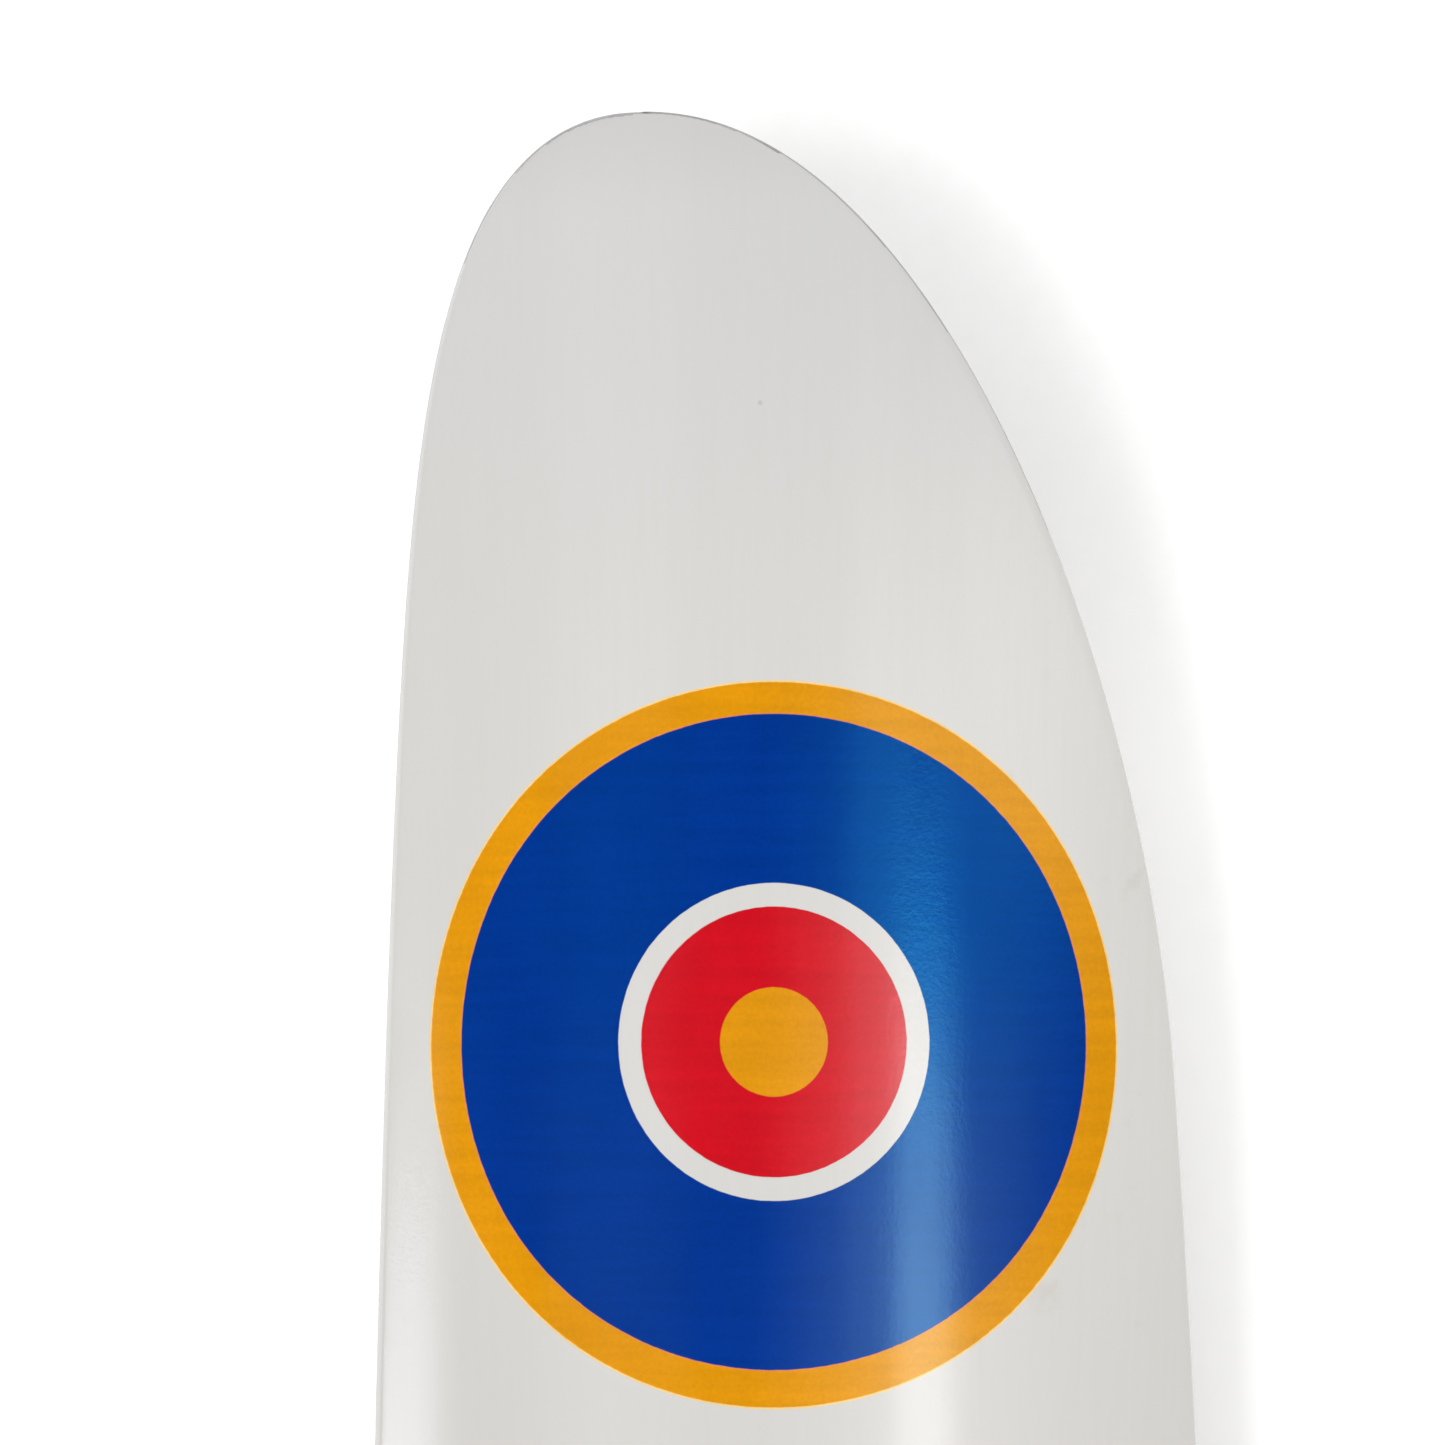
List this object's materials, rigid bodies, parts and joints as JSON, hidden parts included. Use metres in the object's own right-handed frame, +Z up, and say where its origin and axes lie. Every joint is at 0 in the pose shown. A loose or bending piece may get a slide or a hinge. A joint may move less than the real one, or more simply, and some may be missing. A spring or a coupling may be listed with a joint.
{
  "type": "hand-launch glider",
  "caption": "Hand-thrown balsa glider: arched wing with rounded tips and ring markings, profile fuselage, brass nose cap, hinged elevators and rudder; the wing slides in its slot to trim.",
  "frame": {"origin": "the flat underside of the belly skid, below the middle of the wing", "axes": "+Y towards the tail, +Z up, +X towards the left wing tip"},
  "size_m": [0.6, 0.4416, 0.1059],
  "materials": {
    "white_lacquer": "satin gloss lacquer over balsa sheet",
    "balsa": "clear satin varnish",
    "birch_ply": "clear satin varnish",
    "spruce": "clear satin varnish",
    "brass": "polished",
    "spring_steel": "drawn wire",
    "lead": "dull cast",
    "canopy_blue": "moulded gloss",
    "cork": "cut cork sheet"
  },
  "bodies": {
    "fuselage": {"ballast_slug_front": "lead", "ballast_slug_rear": "lead", "belly_skid": "spruce", "canopy": "canopy_blue", "cheek_dowel_front": "spruce", "cheek_dowel_rear": "spruce", "cheek_left": "birch_ply", "cheek_right": "birch_ply", "cockpit_sill": "birch_ply", "elevator_wire_left": "spring_steel", "elevator_wire_right": "spring_steel", "fin": "white_lacquer", "fin_tube_lower": "brass", "fin_tube_upper": "brass", "fuselage_plank": "balsa", "grip_pad_left": "cork", "grip_pad_right": "cork", "nose_cap": "brass", "nose_rivet_lower": "brass", "nose_rivet_upper": "brass", "rudder_wire": "spring_steel", "tailplane": "white_lacquer", "tailplane_tube_inner_left": "brass", "tailplane_tube_inner_right": "brass", "tailplane_tube_outer_left": "brass", "tailplane_tube_outer_right": "brass"},
    "wing": {"dihedral_brace": "birch_ply", "rib_middle_left": "balsa", "rib_middle_right": "balsa", "rib_outer_left": "balsa", "rib_outer_right": "balsa", "rib_root_left": "balsa", "rib_root_right": "balsa", "wing_panel_left": "white_lacquer", "wing_panel_right": "white_lacquer"},
    "elevator_left": {"elevator_left": "white_lacquer", "elevator_tube_left": "brass"},
    "elevator_right": {"elevator_right": "white_lacquer", "elevator_tube_right": "brass"},
    "rudder": {"rudder": "white_lacquer", "rudder_tube": "brass"}
  },
  "joints": [
    {"name": "wing_trim", "type": "hinge", "parent": "fuselage", "child": "wing", "pos_m": [0, 0, -0.064], "axis": [1, 0, 0], "range_deg": [-3, 3]},
    {"name": "elevator_left", "type": "hinge", "parent": "fuselage", "child": "elevator_left", "pos_m": [0.054, 0.256, 0.027], "axis": [1, 0, 0], "range_deg": [-20, 20]},
    {"name": "elevator_right", "type": "hinge", "parent": "fuselage", "child": "elevator_right", "pos_m": [-0.054, 0.256, 0.027], "axis": [1, 0, 0], "range_deg": [-20, 20]},
    {"name": "rudder", "type": "hinge", "parent": "fuselage", "child": "rudder", "pos_m": [0, 0.258, 0.07], "axis": [0, 0, 1], "range_deg": [-22, 22]}
  ]
}
